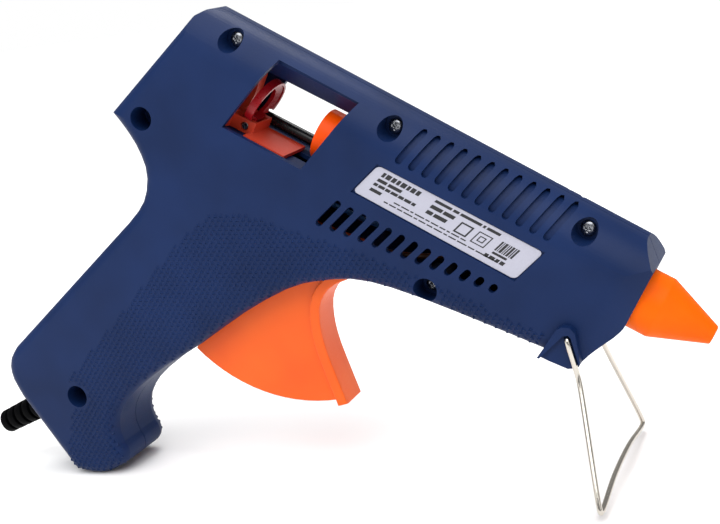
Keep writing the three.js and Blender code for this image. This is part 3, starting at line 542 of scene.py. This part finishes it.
# %% Screws
def screw_mesh():
    """A pan-head screw along +Y, its head's top at the origin."""
    bm = bmesh.new()
    profile = [(0, 0), (1.0, 0.04), (1.7, 0.18), (2.25, 0.45), (2.55, 0.85), (2.6, 1.3), (1.45, 1.3),
               (1.45, 17.5), (0, 19)]
    ring = [bm.verts.new((r, y, 0)) for r, y in profile]
    edges = [bm.edges.new((a, b)) for a, b in zip(ring, ring[1:])]
    bmesh.ops.spin(bm, geom=ring + edges, axis=(0, 1, 0), cent=(0, 0, 0), steps=40, angle=tau,
                   use_merge=True)
    bmesh.ops.remove_doubles(bm, verts=bm.verts, dist=0.001)
    bmesh.ops.recalc_face_normals(bm, faces=bm.faces)
    body = bpy.data.objects.new("screw_blank", mesh_from(bm, "screw_blank", 40))
    cross = bmesh.new()
    for long_side, short_side in ((1.45, 0.36), (0.36, 1.45)):
        made = bmesh.ops.create_cube(cross, size=2)["verts"]
        bmesh.ops.scale(cross, vec=(long_side, 0.9, short_side), verts=made)
        deep = [v for v in made if v.co.y > 0]
        bmesh.ops.scale(cross, vec=(0.5, 1, 0.8), verts=deep)
    bmesh.ops.transform(cross, matrix=Matrix.Rotation(radians(20), 4, "Y"), verts=cross.verts)
    cutter = bpy.data.objects.new("screw_cross", mesh_from(cross, "screw_cross"))
    for part in (body, cutter):
        bpy.context.scene.collection.objects.link(part)
    cut = body.modifiers.new("recess", "BOOLEAN")
    cut.object, cut.operation, cut.solver = cutter, "DIFFERENCE", "EXACT"
    cut.use_self = True
    settled(body)
    mesh = body.data
    bpy.data.objects.remove(cutter)
    bpy.data.objects.remove(body)
    return mesh


screw = screw_mesh()
for node in [name for name in nodes if name.startswith("housing_screw")]:
    low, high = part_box(node)
    mesh = screw.copy()
    head = Vector(((low.x + high.x) / 2, low.y, (low.z + high.z) / 2))
    mesh.transform(Matrix.Translation(head) @ Matrix.Scale(MM, 4))
    piece(node + "_phillips", mesh, zinc, "housing", slot_of[node], node)

# %% [markdown]
# ## Label
# A rating label is a thin foil sticker in a shallow pocket. The foil is a slanted plate with rounded
# corners, and its printing is a thin raised layer of ink. The words are left as plain bars, the way a
# layout is sketched before it has any text, with a double square, the usual sign of double insulation.

# %% Label
LABEL = [(-97.0, 4.5), (-33.9, 4.1), (-38.7, -9.0), (-102.0, -8.0)]
LABEL_FACE = -15.95
label_bm = bmesh.new()
corners = [label_bm.verts.new((x, LABEL_FACE, z)) for x, z in LABEL]
label_bm.faces.new(corners)
bmesh.ops.bevel(label_bm, geom=corners, offset=1.7, offset_type="OFFSET", segments=5, profile=0.5,
                affect="VERTICES", material=-1)
sheet = bmesh.ops.extrude_face_region(label_bm, geom=list(label_bm.faces))
moved = [v for v in sheet["geom"] if isinstance(v, bmesh.types.BMVert)]
bmesh.ops.translate(label_bm, vec=(0, 0.3, 0), verts=moved)
bmesh.ops.recalc_face_normals(label_bm, faces=label_bm.faces)
bmesh.ops.transform(label_bm, matrix=GUN, verts=label_bm.verts)
piece("label_sticker", mesh_from(label_bm, "label_sticker"), label_foil, "housing",
      slot_of["label_plate"], "label_plate")

# %% Label printing
LINE_X, LINE_Z = Vector((63.1, -0.4)).normalized(), Vector((4.9, 12.9)).normalized()


def bar(bm, u, v, long_side, tall):
    """One printed bar; u runs along the label from its rear, v down from its top, in millimetres."""
    top = Vector(LABEL[0]) + LINE_X * u - LINE_Z * v
    quad = [top, top + LINE_X * long_side, top + LINE_X * long_side - LINE_Z * tall, top - LINE_Z * tall]
    vertices = [bm.verts.new((p.x, LABEL_FACE - 0.03, p.y)) for p in quad]
    bm.faces.new(vertices)


def square(bm, u, v, size, line):
    """A square ring."""
    bar(bm, u, v, size, line)
    bar(bm, u, v + size - line, size, line)
    bar(bm, u, v + line, line, size - 2 * line)
    bar(bm, u + size - line, v + line, line, size - 2 * line)


def words(bm, u, v, lengths, tall, gap=0.6):
    """A line of bars with gaps between them."""
    for long_side in lengths:
        bar(bm, u, v, long_side, tall)
        u += long_side + gap


ink = bmesh.new()
words(ink, 3.4, 1.3, [1.1, 1.8, 1.5, 1.2, 1.9, 1.1, 1.6, 1.4], 2.0, 0.45)
words(ink, 3.4, 4.2, [3.6, 5.2], 1.3)
words(ink, 3.4, 6.3, [1.5, 2.4, 1.8, 2.6, 2.0, 2.5, 1.4], 1.2, 0.35)
words(ink, 3.7, 8.7, [4.4], 1.3)
words(ink, 10.6, 11.1, [1.6, 2.6, 2.0, 3.4, 1.4, 2.6, 2.2, 3.2, 1.4, 2.8, 3.6, 2.4, 3.0, 2.0, 1.7],
      0.5, 0.55)
words(ink, 13.5, 9.6, [2.4, 3.0, 1.2, 3.6, 1.6, 2.8, 2.2, 1.2, 3.0, 2.0], 0.5, 0.55)
words(ink, 23.6, 1.2, [6.4, 2.2, 8.0, 0.9, 5.0], 1.1, 0.6)
words(ink, 23.8, 3.5, [4.4, 4.2], 1.5, 0.5)
words(ink, 24.0, 6.1, [2.4, 4.8], 1.5, 0.5)
square(ink, 42.4, 4.0, 5.2, 0.4)
square(ink, 43.8, 5.4, 2.4, 0.4)
square(ink, 35.6, 4.0, 4.8, 0.6)
words(ink, 50.6, 3.4, [0.6, 0.3, 0.9, 0.3, 0.5, 0.8, 0.4, 0.7], 4.4, 0.3)
words(ink, 50.8, 8.4, [5.4], 0.9)
words(ink, 49.4, 10.2, [1.4, 2.0, 1.3, 1.6], 1.5, 0.4)
ink_sheet = bmesh.ops.extrude_face_region(ink, geom=list(ink.faces))
moved = [v for v in ink_sheet["geom"] if isinstance(v, bmesh.types.BMVert)]
bmesh.ops.translate(ink, vec=(0, 0.05, 0), verts=moved)
bmesh.ops.recalc_face_normals(ink, faces=ink.faces)
bmesh.ops.transform(ink, matrix=GUN, verts=ink.verts)
piece("label_printing", mesh_from(ink, "label_printing"), label_ink, "housing", slot_of["label_plate"])

# %% [markdown]
# ## Return spring
# The frame keeps the spring as a plain cylinder. The real one is a coil between a post in the housing
# and the carriage's keel, and it is squeezed as the carriage moves. Spinning a small circle round the
# coil's axis, with a step along it each time, draws the coil in one operation.

# %% Return spring
SPRING_START, SPRING_END, SPRING_Z = -172.3, -149.5, -18.404
COIL_RADIUS, COIL_WIRE, TURNS, TURN_STEPS = 2.2, 0.35, 9, 20
coil = bmesh.new()
loop = bmesh.ops.create_circle(coil, segments=8, radius=COIL_WIRE)["verts"]
bmesh.ops.transform(coil, matrix=Matrix.Translation((SPRING_START + COIL_WIRE, 0, SPRING_Z + COIL_RADIUS)),
                    verts=loop)
total = TURNS * TURN_STEPS
advance = (SPRING_END - SPRING_START - 2 * COIL_WIRE) / total
bmesh.ops.spin(coil, geom=coil.verts[:] + coil.edges[:], axis=(1, 0, 0), cent=(0, 0, SPRING_Z),
               dvec=(advance, 0, 0), steps=total, angle=tau * TURNS, use_merge=False)
bmesh.ops.holes_fill(coil, edges=[e for e in coil.edges if e.is_boundary])
bmesh.ops.recalc_face_normals(coil, faces=coil.faces)
bmesh.ops.transform(coil, matrix=GUN, verts=coil.verts)
spring_mesh = mesh_from(coil, "return_spring_coil", 60)
spring = bpy.data.objects.new("return_spring_coil", spring_mesh)
bpy.context.scene.collection.objects.link(spring)
spring_mesh.materials.append(spring_steel)
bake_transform(spring)
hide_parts("return_spring")

# %% [markdown]
# ## Moving and inner pieces
# The trigger, the feed carriage with its clamp, the links and pins, and the melt chamber with its
# heater already have their shapes. They only need their finish and the small radii of real edges.

# %% Moving and inner pieces
dressed("trigger", trigger_abs, 0.5, 3)
dressed("feed_carriage", carriage_abs, 0.25)
# The clamp's dark crimson is painted shade, standing for the shade that falls on it inside the window.
dressed("stick_clamp", clamp_red_painted_shade, 0.2)
dressed("guide_rod", black_nylon, 0.3)
dressed("melt_chamber", cast_aluminium, 0.3)
dressed("heater_clip", spring_steel, 0.1)
dressed("ptc_heater", heater_film, 0.2)
dressed("cord_clamp", black_nylon, 0.2)
for collar in ("front_collar", "rear_collar"):
    dressed(collar, collar_silicone, 0.2)
for pin in ("clamp_pin", "link_pin_rear", "link_pin_front", "trigger_pin", "drive_link"):
    dressed(pin, pin_steel, 0.15)
for fixing in ("cord_clamp_screw_upper", "cord_clamp_screw_lower"):
    dressed(fixing, zinc, 0.1)

# %% [markdown]
# The two inner wires run from the heater to the cord's entry. They are drawn again as smooth curves on
# the same route, so that no facets show through the slots.

# %% Inner wires
route = [(-60.8, 3.2, -12.7), (-63.2, 4.2, -15.4), (-68, 7.5, -18.4), (-80, 11, -23), (-100, 11.8, -27),
         (-126, 11.8, -29), (-152, 11.8, -40), (-166, 11, -64), (-180, 6, -100), (-183.5, 2, -134)]
entry = (EXIT[0] + 4.8, 1.3, EXIT[1] + 6.4)
for node, side, finish in (("live_wire", -1, brown_pvc), ("neutral_wire", 1, blue_pvc)):
    bends = [Vector((x, side * y, z)) for x, y, z in route + [entry]]
    wire(node + "_insulation", catmull(bends, 6), 1.0, finish, node)

# %% [markdown]
# ## Floor and light
# The gun stands on a white studio sweep. One large soft light from above gives the crown of the barrel
# its long highlight, one beside the camera opens the side, and a low one ahead lifts the nozzle.

# %% Floor
floor_bm = bmesh.new()
bmesh.ops.create_grid(floor_bm, x_segments=1, y_segments=1, size=6)
floor_mesh = bpy.data.meshes.new("studio_floor")
floor_bm.to_mesh(floor_mesh)
floor_bm.free()
floor = bpy.data.objects.new("studio_floor", floor_mesh)
bpy.context.scene.collection.objects.link(floor)
paper, _, paper_shader, _ = finish_named("white_paper", Roughness=0.9)
paper_shader.inputs["Base Color"].default_value = linear("#FAFAFA")
floor_mesh.materials.append(paper)

# %% Lights
world = bpy.data.worlds.new("studio")
bpy.context.scene.world = world
world.use_nodes = True
air = world.node_tree
air.nodes.clear()
seen, felt = (add(air, "Background", Color=(1, 1, 1, 1), Strength=level) for level in (1.0, 0.3))
ray = add(air, "LightPath")
either = add(air, "MixShader")
air.links.new(ray.outputs["Is Camera Ray"], either.inputs[0])
air.links.new(felt.outputs[0], either.inputs[1])
air.links.new(seen.outputs[0], either.inputs[2])
air.links.new(either.outputs[0], add(air, "OutputWorld").inputs["Surface"])
centre = Vector((0, 0, 0.09))


def softbox(name, at, size, watts):
    """A square area light that faces the gun."""
    data = bpy.data.lights.new(name, "AREA")
    data.size, data.energy = size, watts
    lamp = bpy.data.objects.new(name, data)
    lamp.location = at
    lamp.rotation_euler = (centre - Vector(at)).to_track_quat("-Z", "Y").to_euler()
    bpy.context.scene.collection.objects.link(lamp)


sky = bpy.data.lights.new("ceiling_scrim", "SUN")
sky.energy, sky.angle = 3.3, radians(70)
ceiling = bpy.data.objects.new("ceiling_scrim", sky)
ceiling.rotation_euler = Vector((-0.12, 0.5, -1)).to_track_quat("-Z", "Y").to_euler()
bpy.context.scene.collection.objects.link(ceiling)
softbox("overhead", (-0.1, 0.5, 0.9), 0.5, 5)
softbox("beside_camera", (-0.6, -1.0, 0.5), 0.5, 1.5)
softbox("nozzle_side", (0.9, -0.5, 0.35), 0.4, 0.6)
